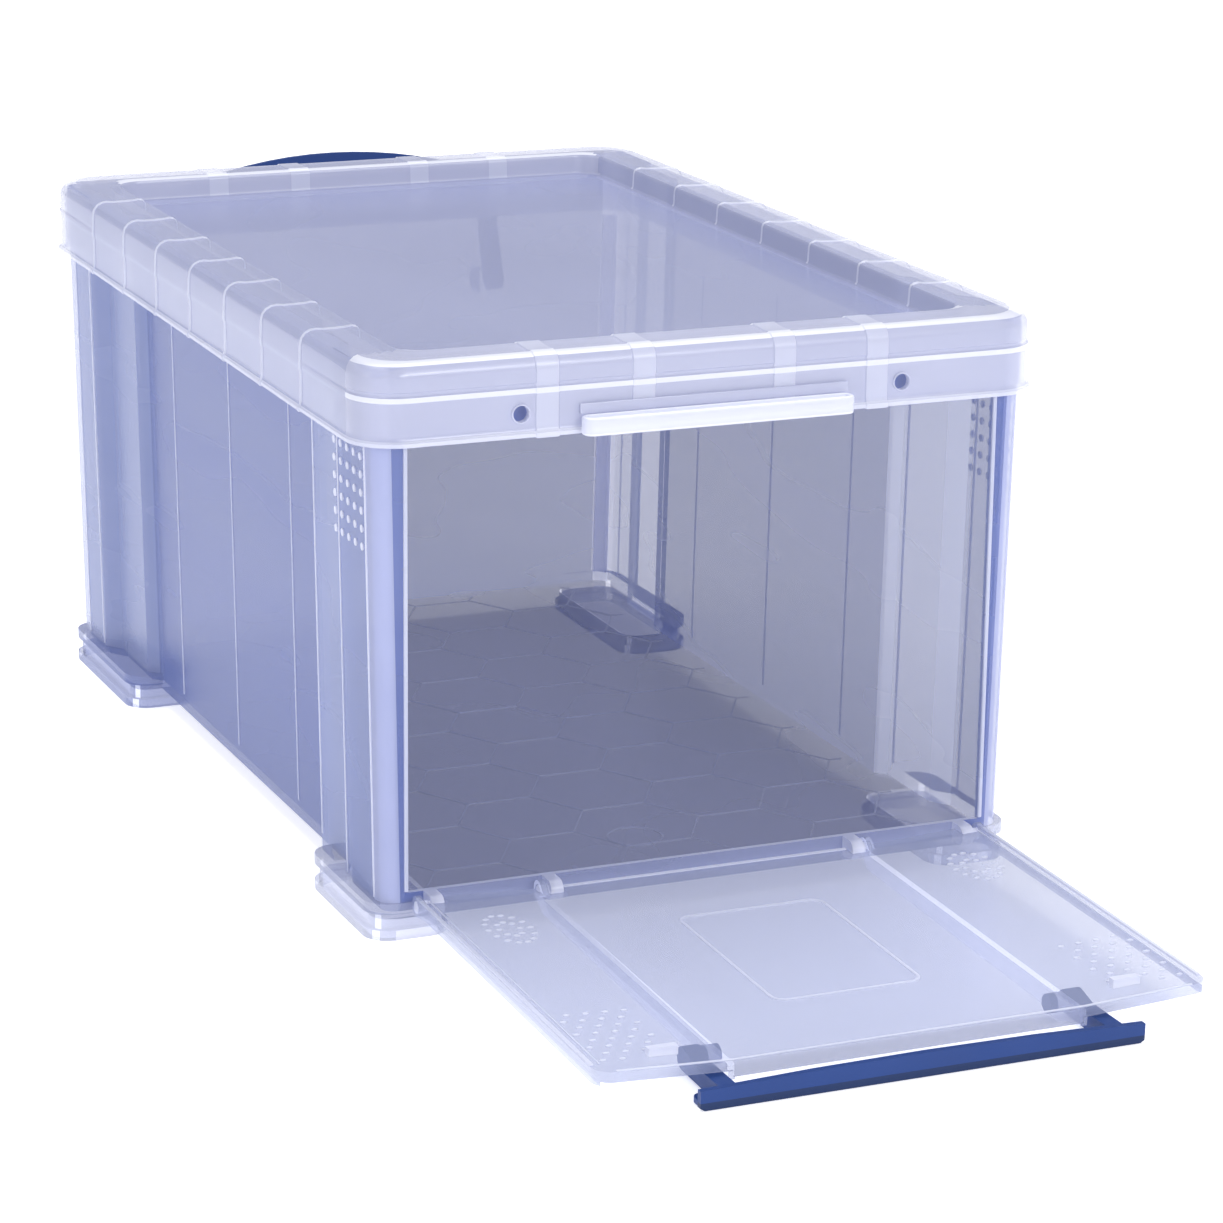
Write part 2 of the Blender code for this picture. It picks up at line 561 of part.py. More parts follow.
def make_rear_handle(parent):
    """Arched grip on two arms; its pivot line is the local x axis and +z runs up to the grip."""
    half, corner = REAR_GRIP_HALF, REAR_PLATE_CUT
    crest = [half * (1 - 2 * i / ARCH_STEPS) for i in range(ARCH_STEPS + 1)]
    drop = [REAR_ARCH_RADIUS - math.sqrt(REAR_ARCH_RADIUS ** 2 - x ** 2) for x in crest]
    arch = [(x, REAR_PLATE_HIGH - d) for x, d in zip(crest, drop)]
    foot = [(-half, REAR_PLATE_LOW + corner), (-half + corner, REAR_PLATE_LOW),
            (half - corner, REAR_PLATE_LOW), (half, REAR_PLATE_LOW + corner)]
    handle = extrusion("rear_handle", arch + foot, *REAR_PLATE_Y, "Y", parent)
    reach, lip_low, lip_high = REAR_LIP
    inset_x, inset_y = REAR_LIP_INSET
    join(handle, block("rear_grip_lip", (-half + inset_x, reach, lip_low),
                       (half - inset_x, REAR_PLATE_Y[1] - inset_y, lip_high), parent))
    inner_low, inner_high = REAR_ARM_INNER
    outer_low, inner_start, top = REAR_ARM_Z
    arm_outline = (arc((0.0, 0.0), REAR_RING, 150, 360, LOBE_STEPS)
                   + [(REAR_ARM_OUTER, outer_low), (REAR_ARM_OUTER, top),
                      (inner_high, top), (inner_low, inner_start)])
    for side, (x0, x1) in both_sides(*ARM_X):
        join(handle, extrusion(f"rear_arm_{side:+d}", arm_outline, x0, x1, "X", parent))
        cut(handle, rod(f"rear_arm_bore_{side:+d}", REAR_BORE, x0 - OVERSHOOT, x1 + OVERSHOOT,
                        (0.0, 0.0), parent))
    return finish(handle, handle_plastic)


# ---------------------------------------------------------------- assembly
clear_scene()
parts = new_collection("shoe_box")
cutters = new_collection("cutters")
clear_plastic = plastic("clear_plastic", (0.72, 0.77, 0.92), 0.45, 0.25)
handle_plastic = plastic("handle_plastic", (0.03, 0.09, 0.38), 1.0, 0.4)

footprint_centre = new_empty("footprint_centre", (0.0, 0.5 * (FRONT_REACH - REAR_REACH), 0.0))
flap_hinge = new_empty("flap_hinge", (0.0, *FLAP_AXIS), footprint_centre, FLAP_DROOP)
front_pivot = new_empty("front_handle_pivot", (0.0, -FRONT_PIVOT[0], FRONT_PIVOT[1]), flap_hinge)
rear_pivot = new_empty("rear_handle_pivot", (0.0, *REAR_PIVOT), footprint_centre, -REAR_TILT)

make_tub(footprint_centre)
make_lid(footprint_centre)
make_flap(flap_hinge)
make_front_handle(front_pivot)
make_rear_handle(rear_pivot)
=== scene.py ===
"""Looks for the shoe box: milky clear plastic shells with moulded detail, and two satin blue handles."""

import json
import math
import random

import bmesh
import bpy
from mathutils import Matrix, Vector

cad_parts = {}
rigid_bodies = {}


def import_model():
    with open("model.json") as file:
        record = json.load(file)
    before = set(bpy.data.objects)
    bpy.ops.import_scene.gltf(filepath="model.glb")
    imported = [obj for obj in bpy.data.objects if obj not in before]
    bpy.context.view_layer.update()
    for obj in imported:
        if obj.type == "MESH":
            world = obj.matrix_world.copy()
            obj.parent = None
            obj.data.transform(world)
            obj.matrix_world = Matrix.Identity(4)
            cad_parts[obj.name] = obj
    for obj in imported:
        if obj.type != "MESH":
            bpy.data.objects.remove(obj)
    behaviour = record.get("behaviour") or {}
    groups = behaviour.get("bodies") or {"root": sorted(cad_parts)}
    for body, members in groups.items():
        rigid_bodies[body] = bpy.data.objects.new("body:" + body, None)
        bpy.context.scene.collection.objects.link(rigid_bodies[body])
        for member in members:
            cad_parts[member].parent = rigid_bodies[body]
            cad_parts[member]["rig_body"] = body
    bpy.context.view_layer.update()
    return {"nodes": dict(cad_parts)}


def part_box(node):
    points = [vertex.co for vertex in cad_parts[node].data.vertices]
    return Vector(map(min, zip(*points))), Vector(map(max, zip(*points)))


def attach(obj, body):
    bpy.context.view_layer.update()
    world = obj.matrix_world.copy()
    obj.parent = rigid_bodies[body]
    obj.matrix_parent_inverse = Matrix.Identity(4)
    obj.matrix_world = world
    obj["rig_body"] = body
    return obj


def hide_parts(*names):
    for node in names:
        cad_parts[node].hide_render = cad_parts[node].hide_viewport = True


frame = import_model()

MM = 0.001
lid_low, lid_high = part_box("lid")
BODY_Y = 0.5 * (lid_low.y + lid_high.y)      # where the middle of the box lies in the shared frame
BODY = Matrix.Translation((0.0, BODY_Y, 0.0))
HINGE_Y = -189.0 * MM                        # the flap's hinge line, from the middle of the box
HINGE_Z = 13.0 * MM
FLAP_DROOP = math.radians(0.9)               # how far the open flap leans down from level
FLAP = Matrix.Translation((0.0, BODY_Y + HINGE_Y, HINGE_Z)) @ Matrix.Rotation(FLAP_DROOP, 4, "X")


# ---------------------------------------------------------------- materials
RAMP_ENDS = (0.3, 0.7)                       # the part of a noise's range that a ramp is spread over
IOR = 1.49
# a noise is given by its scale and detail, a bump by its strength and distance
FLOW = (9.0, 2.0)
FLOW_STRETCH = (1.0, 0.6, 3.0)
FLOW_ROUGHNESS = (-0.04, 0.06)
UNEVENNESS = (22.0, 0.0)
UNEVEN_DISTANCE = 0.5 * MM
MOTTLE = (22.0, 4.0)
PATCHES = (90.0, 3.0)
PATCH_ROUGHNESS = (-0.05, 0.07)
GRAIN = (1500.0, 2.0)
GRAIN_BUMP = (0.12, 0.2 * MM)
WAVES = (120.0, 2.0)
WAVE_BUMP = (0.06, 0.5 * MM)
BLUE_GLOSS = 0.3
# tint of the blue plastics' painted glow, which lifts them where they lie in shade
BLUE_GLOW = (0.05, 0.16, 0.62)


class Nodes:
    """Short hand for building one Principled material."""

    def __init__(self, name):
        self.material = bpy.data.materials.new(name)
        self.material.use_nodes = True
        self.tree = self.material.node_tree
        self.shader = self.tree.nodes["Principled BSDF"]

    def add(self, kind, **inputs):
        node = self.tree.nodes.new(kind)
        for key, value in inputs.items():
            node.inputs[key].default_value = value
        return node

    def link(self, source, target):
        self.tree.links.new(source, target)

    def set(self, name, value):
        self.shader.inputs[name].default_value = value

    def feed(self, name, source):
        """Feed one of the shader's inputs from another node."""
        self.link(source, self.shader.inputs[name])

    def noise(self, scale, detail, stretch=None):
        noise = self.add("ShaderNodeTexNoise", Scale=scale, Detail=detail)
        source = self.add("ShaderNodeTexCoord").outputs["Object"]
        if stretch:
            mapping = self.add("ShaderNodeMapping", Scale=stretch)
            self.link(source, mapping.inputs["Vector"])
            source = mapping.outputs["Vector"]
        self.link(source, noise.inputs["Vector"])
        return noise.outputs["Fac"]

    def ramp(self, source, low, high):
        """A colour or a grey level between low and high, from a 0 to 1 source."""
        ramp = self.add("ShaderNodeValToRGB")
        for element, position, value in zip(ramp.color_ramp.elements, RAMP_ENDS, (low, high)):
            element.position = position
            colour = value if hasattr(value, "__len__") else (value,) * 3
            element.color = (*colour, 1.0)
        self.link(source, ramp.inputs["Fac"])
        return ramp.outputs["Color"]

    def bump(self, source, strength, distance, under=None):
        bump = self.add("ShaderNodeBump", Strength=strength, Distance=distance)
        self.link(source, bump.inputs["Height"])
        if under:
            self.link(under, bump.inputs["Normal"])
        return bump.outputs["Normal"]

    def finish(self, gloss, tint, glow):
        """The values that are the same all over, and the material they complete."""
        self.set("IOR", IOR)
        self.set("Specular IOR Level", gloss)
        self.set("Emission Color", (*tint, 1.0))
        self.set("Emission Strength", glow)
        return self.material


def clear_plastic(name, low, high, alpha, glow, roughness=0.2, tint=(0.68, 0.71, 0.90), gloss=0.6,
                  uneven=0.04):
    """Slightly milky polypropylene: two close tints, soft flow marks and a faintly uneven surface.

    The glow is painted light: it stands in for light scattered inside the thickness of the plastic and lifts
    the plastic where it lies in shade.
    """
    m = Nodes(name)
    flow = m.noise(*FLOW, stretch=FLOW_STRETCH)
    smoother, rougher = FLOW_ROUGHNESS
    m.feed("Base Color", m.ramp(flow, low, high))
    m.feed("Roughness", m.ramp(flow, roughness + smoother, roughness + rougher))
    m.feed("Normal", m.bump(m.noise(*UNEVENNESS), uneven, UNEVEN_DISTANCE))
    m.set("Alpha", alpha)
    return m.finish(gloss, tint, glow)


def blue_plastic(name, low, high, roughness, glow):
    """Satin coloured plastic with a fine moulded grain, and a painted glow that lifts it where it lies in
    shade.
    """
    m = Nodes(name)
    smoother, rougher = PATCH_ROUGHNESS
    m.feed("Base Color", m.ramp(m.noise(*MOTTLE), low, high))
    m.feed("Roughness", m.ramp(m.noise(*PATCHES), roughness + smoother, roughness + rougher))
    grain = m.bump(m.noise(*GRAIN), *GRAIN_BUMP)
    m.feed("Normal", m.bump(m.noise(*WAVES), *WAVE_BUMP, under=grain))
    return m.finish(BLUE_GLOSS, BLUE_GLOW, glow)


WALL = {"roughness": 0.25, "uneven": 0.01, "tint": (0.39, 0.45, 0.75)}
UPRIGHT = {"roughness": 0.25, "uneven": 0.01, "tint": (0.52, 0.58, 0.92), "gloss": 0.4}
SHELL = clear_plastic("shell_plastic", (0.07, 0.11, 0.34), (0.09, 0.13, 0.38), 0.62, 0.12, gloss=0.35, **WALL)
# tub floor: darker, less glowing plastic than the walls, partly painted shade
FLOOR = clear_plastic("floor_plastic", (0.085, 0.105, 0.25), (0.11, 0.13, 0.28), 0.62, 0.05, gloss=0.4,
                      **WALL)
POST = clear_plastic("post_plastic", (0.19, 0.24, 0.47), (0.23, 0.28, 0.51), 0.55, 0.11, **UPRIGHT)
DOOR_POST = clear_plastic("door_post_plastic", (0.13, 0.18, 0.42), (0.16, 0.21, 0.46), 0.58, 0.06, **UPRIGHT)
# paler plastic down the corner roundings: partly thicker plastic, partly a painted highlight
STRIP = clear_plastic("strip_plastic", (0.42, 0.46, 0.70), (0.46, 0.50, 0.74), 0.48, 0.10,
                      **(UPRIGHT | {"roughness": 0.2, "gloss": 0.5}))
FOOT = clear_plastic("foot_plastic", (0.27, 0.30, 0.47), (0.31, 0.34, 0.51), 0.50, 0.09)
PANEL = clear_plastic("panel_plastic", (0.34, 0.37, 0.58), (0.38, 0.41, 0.62), 0.50, 0.07)
BAND = clear_plastic("band_plastic", (0.62, 0.64, 0.78), (0.67, 0.69, 0.82), 0.52, 0.12)
SIDE_RIM = clear_plastic("side_rim_plastic", (0.40, 0.43, 0.62), (0.45, 0.48, 0.66), 0.48, 0.08)
RIM = clear_plastic("rim_plastic", (0.52, 0.54, 0.70), (0.57, 0.59, 0.74), 0.50, 0.10)
FLAP_PLASTIC = clear_plastic("flap_plastic", (0.28, 0.32, 0.50), (0.31, 0.35, 0.54), 0.46, 0.08)
# pale plastic with a strong painted glow: painted light that lifts the shade on what hangs under the flap and
# on the walls of the foot hollows
UNDERSIDE_GLOW = clear_plastic("underside_glow_plastic", (0.60, 0.63, 0.80), (0.66, 0.69, 0.84), 0.30, 0.80)
# lighter plastic for thick moulded edges, beads and pips, partly a painted highlight; it also puts painted
# light on the shaded hinge ears
EDGE = clear_plastic("edge_plastic", (0.68, 0.70, 0.83), (0.74, 0.76, 0.87), 0.55, 0.14, roughness=0.25)
# near-white plastic for painted highlight lines along rim and tray edges
PAINTED_HIGHLIGHT = clear_plastic("painted_highlight_plastic", (0.82, 0.84, 0.92), (0.88, 0.89, 0.95), 0.60, 0.18)
BLUE = blue_plastic("blue_plastic", (0.005, 0.027, 0.135), (0.007, 0.033, 0.16), roughness=0.42, glow=0.10)
# deeper, less glowing blue: painted shade on the lower part of the front grip
SHADED_BLUE = blue_plastic("shaded_blue_plastic", (0.003, 0.016, 0.070), (0.004, 0.019, 0.080), roughness=0.45,
                         glow=0.04)


# ---------------------------------------------------------------- mesh helpers
CAD_WELD = 2e-6                              # corners of a CAD mesh closer than this are one
RING_WELD = 1e-6                             # and so are corners of a closed loft
FLAT_ANGLE = 0.6                             # faces that meet flatter than this are one, in degrees
SHARP_ANGLE = 28.0                           # edges sharper than this are rounded
SMOOTH_ANGLE = 35.0                          # edges flatter than this are shaded smooth
ROUND_PROFILE = 0.5
FACE_WEIGHT = 60
SIDES = ((-1, "left"), (1, "right"))


def new_piece(name, mesh, body, materials, place=None):
    piece = bpy.data.objects.new(name, mesh)
    bpy.context.scene.collection.objects.link(piece)
    if place is not None:
        mesh.transform(place)
    mesh.materials.clear()
    for material in materials:
        mesh.materials.append(material)
    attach(piece, body)
    return piece


def paint(mesh, material, inside, place=BODY):
    """Give one of a mesh's materials to the faces whose centre, as seen from a place, passes a test."""
    index = list(mesh.materials).index(material)
    seen_from = place.inverted()
    for face in mesh.polygons:
        if inside(seen_from @ face.center):
            face.material_index = index


def smooth(mesh, angle=SMOOTH_ANGLE):
    mesh.shade_smooth()
    mesh.set_sharp_from_angle(angle=math.radians(angle))


def mesh_of(shape, name):
    mesh = bpy.data.meshes.new(name)
    bmesh.ops.recalc_face_normals(shape, faces=shape.faces)
    shape.to_mesh(mesh)
    shape.free()
    return mesh


def smooth_piece(name, shape, body, materials, place, angle=SMOOTH_ANGLE):
    mesh = mesh_of(shape, name)
    smooth(mesh, angle)
    return new_piece(name, mesh, body, materials, place=place)


def apply_modifiers(obj):
    """Put the evaluated mesh in place of the object's own."""
    bpy.context.view_layer.update()
    mesh = bpy.data.meshes.new_from_object(obj.evaluated_get(bpy.context.evaluated_depsgraph_get()))
    obj.modifiers.clear()
    obj.data = mesh


def face_weighted(piece):
    """Flatten the shading of large faces beside rounded edges."""
    weigh = piece.modifiers.new("weigh", "WEIGHTED_NORMAL")
    weigh.keep_sharp = True
    weigh.weight = FACE_WEIGHT
    apply_modifiers(piece)


def cut_away(piece, shape):
    """Take a closed shape out of a piece."""
    cutter = bpy.data.objects.new("cutter", mesh_of(shape, "cutter"))
    bpy.context.scene.collection.objects.link(cutter)
    difference = piece.modifiers.new("difference", "BOOLEAN")
    difference.operation = "DIFFERENCE"
    difference.solver = "EXACT"
    difference.object = cutter
    apply_modifiers(piece)
    bpy.data.objects.remove(cutter, do_unlink=True)


def bevel_sharp(shape, width, segments=2, angle=SHARP_ANGLE):
    """Round every edge sharper than an angle."""
    edges = [e for e in shape.edges if e.is_manifold and e.calc_face_angle(0.0) > math.radians(angle)]
    bmesh.ops.bevel(shape, geom=edges, offset=width, offset_type="OFFSET", segments=segments,
                    profile=ROUND_PROFILE, affect="EDGES", clamp_overlap=True)


def whole(shape):
    return shape.verts[:] + shape.edges[:] + shape.faces[:]


def settle_order(shape):
    """Sort the faces by their corners, since an extrusion makes them in no fixed order."""
    shape.verts.index_update()
    count = len(shape.verts)

    def rank(face):
        first, second, third = sorted(vertex.index for vertex in face.verts)[:3]
        return (first * count + second) * count + third

    shape.faces.sort(key=rank)


def softened(node, name, width, segments, materials, angle=SHARP_ANGLE):
    """A CAD node's shape with its edges rounded, standing for that node."""
    source = frame["nodes"][node]
    shape = bmesh.new()
    shape.from_mesh(source.data)
    bmesh.ops.remove_doubles(shape, verts=shape.verts, dist=CAD_WELD)
    bmesh.ops.dissolve_limit(shape, angle_limit=math.radians(FLAT_ANGLE), verts=shape.verts,
                             edges=shape.edges)
    bevel_sharp(shape, width, segments, angle)
    mesh = mesh_of(shape, name)
    smooth(mesh)
    piece = new_piece(name, mesh, source["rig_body"], materials)
    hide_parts(node)
    face_weighted(piece)
    return piece


def box_shape(shape, low, high):
    middle = [0.5 * (a + b) for a, b in zip(low, high)]
    size = [b - a for a, b in zip(low, high)]
    bmesh.ops.create_cube(shape, size=1.0, matrix=Matrix.Translation(middle) @ Matrix.Diagonal((*size, 1.0)))


def loft(shape, rings, capped=True):
    """Skin a list of closed rings that have the same number of points."""
    rows = [[shape.verts.new(p) for p in ring] for ring in rings]
    for a, b in zip(rows, rows[1:]):
        for i in range(len(a)):
            j = (i + 1) % len(a)
            shape.faces.new((a[i], a[j], b[j], b[i]))
    if capped:
        shape.faces.new(list(reversed(rows[0])))
        shape.faces.new(rows[-1])


def loft_loop(shape, rings):
    """Skin rings all the way round, from the last back to the first."""
    loft(shape, rings + [rings[0]], capped=False)
    bmesh.ops.remove_doubles(shape, verts=shape.verts, dist=RING_WELD)


def disc(shape, radius, depth, segments, place):
    """A short round bar about the z axis of a place."""
    bmesh.ops.create_cone(shape, cap_ends=True, segments=segments, radius1=radius, radius2=radius,
                          depth=depth, matrix=place)


def circle(radius, steps):
    turns = [2 * math.pi * i / steps for i in range(steps)]
    return [(radius * math.cos(a), radius * math.sin(a)) for a in turns]


def arc(radius, start, steps):
    """Points of a quarter circle that begins at an angle in degrees."""
    turns = [math.radians(start + 90.0 * i / steps) for i in range(steps + 1)]
    return [(radius * math.cos(a), radius * math.sin(a)) for a in turns]


def plan_ring(low, high, radius, z, steps=6):
    """A rounded rectangle at a height."""
    (x0, y0), (x1, y1) = low, high
    ring = []
    for cx, cy, start in ((x1 - radius, y1 - radius, 0), (x0 + radius, y1 - radius, 90),
                          (x0 + radius, y0 + radius, 180), (x1 - radius, y0 + radius, 270)):
        ring += [(cx + x, cy + y, z) for x, y in arc(radius, start, steps)]
    return ring


# ---------------------------------------------------------------- lid
LID_HALF_X = 127.5 * MM
LID_HALF_Y = 190.0 * MM
LID_RADIUS = 17.0 * MM
# what the half width, half length and corner radius lose from the skirt's foot in to the panel's edge, in mm
PANEL_INSET_X, PANEL_INSET_Y, PANEL_INSET_RADIUS = 23.0, 22.0, 7.0
CORNER_STEPS = 8
SIDE_LINES = [42.0 * MM * k for k in range(-3, 4)]           # stepped joints along each long side
END_BANDS = [-61.0 * MM, -26.0 * MM, 26.0 * MM, 61.0 * MM]   # flat straps across each short side
LINE_HALF = 0.35 * MM
STEP_DROP = 0.50 * MM
BAND_HALF = 4.0 * MM
BAND_RAMP = 0.4 * MM
BAND_DROP = 0.40 * MM
GROOVE_X = 126.2 * MM                                        # fine groove, round the short sides only
GROOVE_DEPTH = 0.55 * MM
# the lid's section from the sunken panel over the rim, down the skirt and back under: half width, height
LID_SECTION = [
    (103.0, 193.0), (104.0, 193.25), (104.5, 194.1), (104.8, 199.6), (105.3, 200.9), (106.3, 201.7),
    (107.8, 202.0), (110.4, 201.7), (114.0, 201.55), (118.0, 201.5), (120.6, 201.75), (122.6, 201.5),
    (124.6, 200.5), (126.0, 198.8), (126.6, 196.4), (126.7, 191.9), (126.2, 191.3), (126.2, 190.7),
    (126.8, 190.1), (126.8, 188.2), (126.4, 187.2), (126.4, 177.0), (126.8, 175.6), (127.5, 174.9),
    (127.5, 173.6), (127.0, 173.0), (125.6, 173.0), (124.9, 174.6), (124.4, 178.0), (124.4, 195.8),
    (123.4, 198.4), (121.2, 199.5), (110.0, 199.7), (107.9, 199.3), (107.1, 197.8), (106.8, 192.2),
    (106.0, 191.1), (104.4, 190.8),
]
OUTER_LEVELS = range(5, 26)                                  # section points on the rim's outer side
HIGHLIGHT_LEVELS = (4, 5, 10, 11, 18)                           # painted highlight on both edges of the rim, and under the groove
FOOT_LEVELS = (22, 23, 24)                                   # flared foot of the skirt
LID_SMOOTH_ANGLE = 40.0
LONG_SIDE_X = 104.0 * MM                                     # the long sides take darker plastic and no painted rim-edge highlight: beyond this,
LONG_SIDE_END = 168.0 * MM                                   # and nearer the middle than this
LINE_PAINT_HALF = 1.9 * LINE_HALF
BAND_PAINT_HALF = BAND_HALF + 0.1 * MM
BANDS_END = 80.0 * MM
PANEL_HALF = (104.4 * MM, 167.9 * MM)
PANEL_TOP = 193.6 * MM

HOLE_X = 70.5 * MM                                           # round holes in the skirt's front
HOLE_Z = 181.6 * MM
HOLE_Y = -188.5 * MM
HOLE_RADIUS = 2.75 * MM
HOLE_DEPTH = 9.0 * MM
HOLE_STEPS = 32
# section of the raised rim round each hole: radius, and y from the middle of the box
HOLE_RIM = [(2.8, -188.6), (2.8, -189.3), (2.95, -189.5), (3.25, -189.5), (3.4, -189.3), (3.4, -188.6)]

TRAY_HALF = 50.0 * MM
TRAY_Y = (189.3 * MM, 196.6 * MM)
TRAY_RADIUS = 3.4
# section of a tray from its underside up: how far in from its outline, and height
TRAY_SECTION = [(0.7, 173.5), (0.15, 173.8), (0.0, 174.4), (0.0, 178.9), (0.15, 179.5), (0.6, 179.8),
                (1.1, 179.8), (1.5, 179.5), (1.7, 178.6), (2.1, 178.4)]
TRAY_HIGHLIGHT_ABOVE = 179.3 * MM
TRAY_HIGHLIGHT_BELOW = 174.3 * MM
TRAY_BACK = ((-49.5 * MM, 189.0 * MM, 180.0 * MM), (49.5 * MM, 189.95 * MM, 183.6 * MM))
TRAY_BACK_ROUNDING = 0.3 * MM


def side_relief():
    """Where extra points go along a long and a short side, and how far each sits below the outer surface."""
    long_side = []
    for y in SIDE_LINES:
        long_side += [(y - 2 * LINE_HALF, STEP_DROP), (y - LINE_HALF, 0.0), (y + LINE_HALF, 0.0),
                      (y + 2 * LINE_HALF, 0.5 * STEP_DROP)]
    short_side = []
    for x in END_BANDS:
        short_side += [(x - BAND_HALF - BAND_RAMP, BAND_DROP), (x - BAND_HALF, 0.0), (x + BAND_HALF, 0.0),
                       (x + BAND_HALF + BAND_RAMP, BAND_DROP)]
    return long_side, short_side


def lid_ring(half_x, z, normal, relief, side_out):
    """One closed ring of the lid: a rounded rectangle with the relief of its joints and straps.

    The long sides may stand out a little from the ring's own half width.
    """
    inset = LID_HALF_X - half_x
    half_y = LID_HALF_Y - inset * PANEL_INSET_Y / PANEL_INSET_X
    radius = LID_RADIUS - inset * PANEL_INSET_RADIUS / PANEL_INSET_X
    long_side, short_side = side_relief()
    cx, cy = half_x - radius, half_y - radius
    ring = []

    def put(x, y, nx, ny, drop):
        drop *= relief
        ring.append((x - nx * normal[0] * drop, y - ny * normal[0] * drop, z - normal[1] * drop))

    def corner(sx, sy, start):
        for nx, ny in arc(1.0, start, CORNER_STEPS):
            put(sx * cx + radius * nx, sy * cy + radius * ny, nx, ny, BAND_DROP)

    corner(1, -1, -90.0)
    for y, drop in long_side:
        put(half_x + side_out, y, 1, 0, drop)
    corner(1, 1, 0.0)
    for x, drop in reversed(short_side):
        put(x, half_y, 0, 1, drop)
    corner(-1, 1, 90.0)
    for y, drop in reversed(long_side):
        put(-half_x - side_out, y, -1, 0, drop)
    corner(-1, -1, 180.0)
    for x, drop in short_side:
        put(x, -half_y, 0, -1, drop)
    return ring


def lid_material(level, centre):
    """The material of a face of the lid's skin, from its place in the section and its centre."""
    if level >= OUTER_LEVELS.stop:
        return RIM
    x, y = abs(centre.x), abs(centre.y)
    if y < LONG_SIDE_END and x > LONG_SIDE_X:
        on_line = any(abs(centre.y - line) < LINE_PAINT_HALF for line in SIDE_LINES)
        # the joint lines get a painted highlight in the lighter edge plastic; so does the skirt's thick
        # flared foot
        return EDGE if on_line or level in FOOT_LEVELS else SIDE_RIM
    # painted highlight along both edges of the rim and under the groove
    if level in HIGHLIGHT_LEVELS:
        return PAINTED_HIGHLIGHT
    if level in FOOT_LEVELS:
        return EDGE
    if x < BANDS_END and any(abs(centre.x - band) < BAND_PAINT_HALF for band in END_BANDS):
        return BAND
    return RIM


def lid_rings():
    section = [(x * MM, z * MM) for x, z in LID_SECTION]
    rings = []
    for i, (x, z) in enumerate(section):
        before, after = section[max(i - 1, 0)], section[min(i + 1, len(section) - 1)]
        along = Vector((after[0] - before[0], after[1] - before[1])).normalized()
        side_out = GROOVE_DEPTH if x == GROOVE_X else 0.0
        rings.append(lid_ring(x, z, (-along.y, along.x), 1.0 if i in OUTER_LEVELS else 0.0, side_out))
    return rings


def make_lid():
    materials = (RIM, PANEL, SIDE_RIM, BAND, EDGE, PAINTED_HIGHLIGHT)
    rings = lid_rings()
    shape = bmesh.new()
    loft(shape, rings)
    around = len(rings[0])
    finishes = [materials.index(lid_material(index // around, face.calc_center_median()))
                for index, face in enumerate(shape.faces)]
    lid = smooth_piece("lid_shell", shape, "lid", materials, BODY, LID_SMOOTH_ANGLE)
    lid.data.polygons.foreach_set("material_index", finishes)
    half_x, half_y = PANEL_HALF
    paint(lid.data, PANEL, lambda c: c.z < PANEL_TOP and abs(c.x) < half_x and abs(c.y) < half_y)
    holes = bmesh.new()
    for side, _ in SIDES:
        place = (BODY @ Matrix.Translation((side * HOLE_X, HOLE_Y, HOLE_Z))
                 @ Matrix.Rotation(math.pi / 2, 4, "X"))
        disc(holes, HOLE_RADIUS, HOLE_DEPTH, HOLE_STEPS, place)
    cut_away(lid, holes)
    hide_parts("lid")
    face_weighted(lid)


def make_tray(name, facing):
    """The tray that a handle hooks over: rounded ends, a raised lip and a groove along its top."""
    y0, y1 = sorted(facing * y for y in TRAY_Y)
    shape = bmesh.new()
    loft(shape, [plan_ring((-TRAY_HALF + i * MM, y0 + i * MM), (TRAY_HALF - i * MM, y1 - i * MM),
                           (TRAY_RADIUS - i) * MM, z * MM) for i, z in TRAY_SECTION])
    tray = smooth_piece(name, shape, "lid", (EDGE, PAINTED_HIGHLIGHT), BODY)
    # painted highlight along the tray's top lip and lower edge
    paint(tray.data, PAINTED_HIGHLIGHT, lambda c: c.z > TRAY_HIGHLIGHT_ABOVE or c.z < TRAY_HIGHLIGHT_BELOW)
    plate = bmesh.new()
    (x0, near, z0), (x1, far, z1) = TRAY_BACK
    y0, y1 = sorted((facing * near, facing * far))
    box_shape(plate, (x0, y0, z0), (x1, y1, z1))
    bevel_sharp(plate, TRAY_BACK_ROUNDING)
    smooth_piece(name + "_back", plate, "lid", (RIM,), BODY)


def make_hole_rims():
    for side, word in SIDES:
        shape = bmesh.new()
        loft_loop(shape, [[(side * HOLE_X + x, y * MM, HOLE_Z + z)
                           for x, z in circle(radius * MM, HOLE_STEPS)] for radius, y in HOLE_RIM])
        smooth_piece("hole_rim_" + word, shape, "lid", (RIM,), BODY)


# ---------------------------------------------------------------- tub details
TUB_TOP = 199.4 * MM
TUB_UNDERSIDE = 7.5 * MM
TUB_ROUNDING = 0.5 * MM
POST_HALF = 122.0 * MM                       # half width over the corner posts, at the top
WALL_TAPER = 3.5 * MM                        # how much of that is lost down to the underside
STEEP = 0.3                                  # faces whose normals rise less than this are upright


def below(limit):
    return -math.inf, limit * MM


def above(limit):
    return limit * MM, math.inf


def between(low, high):
    return low * MM, high * MM


ANY = (-math.inf, math.inf)
